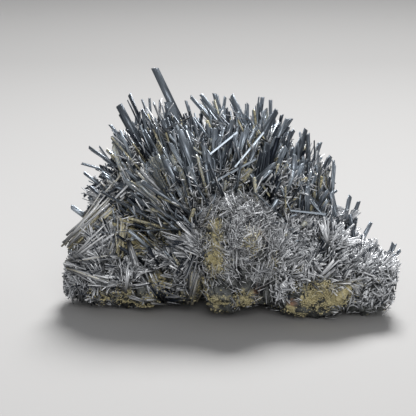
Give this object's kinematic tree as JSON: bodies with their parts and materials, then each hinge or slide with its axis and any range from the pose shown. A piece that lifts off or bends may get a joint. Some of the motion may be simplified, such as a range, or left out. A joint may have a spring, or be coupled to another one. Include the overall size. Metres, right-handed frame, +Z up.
{
  "type": "stibnite crystal spray",
  "caption": "Natural mineral hand specimen: a dense radiating spray of blades and needles on its own craggy, matted ground mass, resting on flat undersides.",
  "frame": {"origin": "middle of the footprint's bounding box, on the surface it rests on", "axes": "+X along the specimen's length, +Y away from its front, +Z up; the tall blades lean towards -X"},
  "size_m": [0.11, 0.0665, 0.0781],
  "materials": {
    "stibnite": "metallic steel-grey crystals with dusty matted fibres between them"
  },
  "bodies": {
    "root": {"crystal_cluster": "stibnite", "loose_needle_left": "stibnite", "loose_needle_centre": "stibnite", "loose_needle_long": "stibnite", "loose_needle_right": "stibnite"}
  },
  "joints": []
}
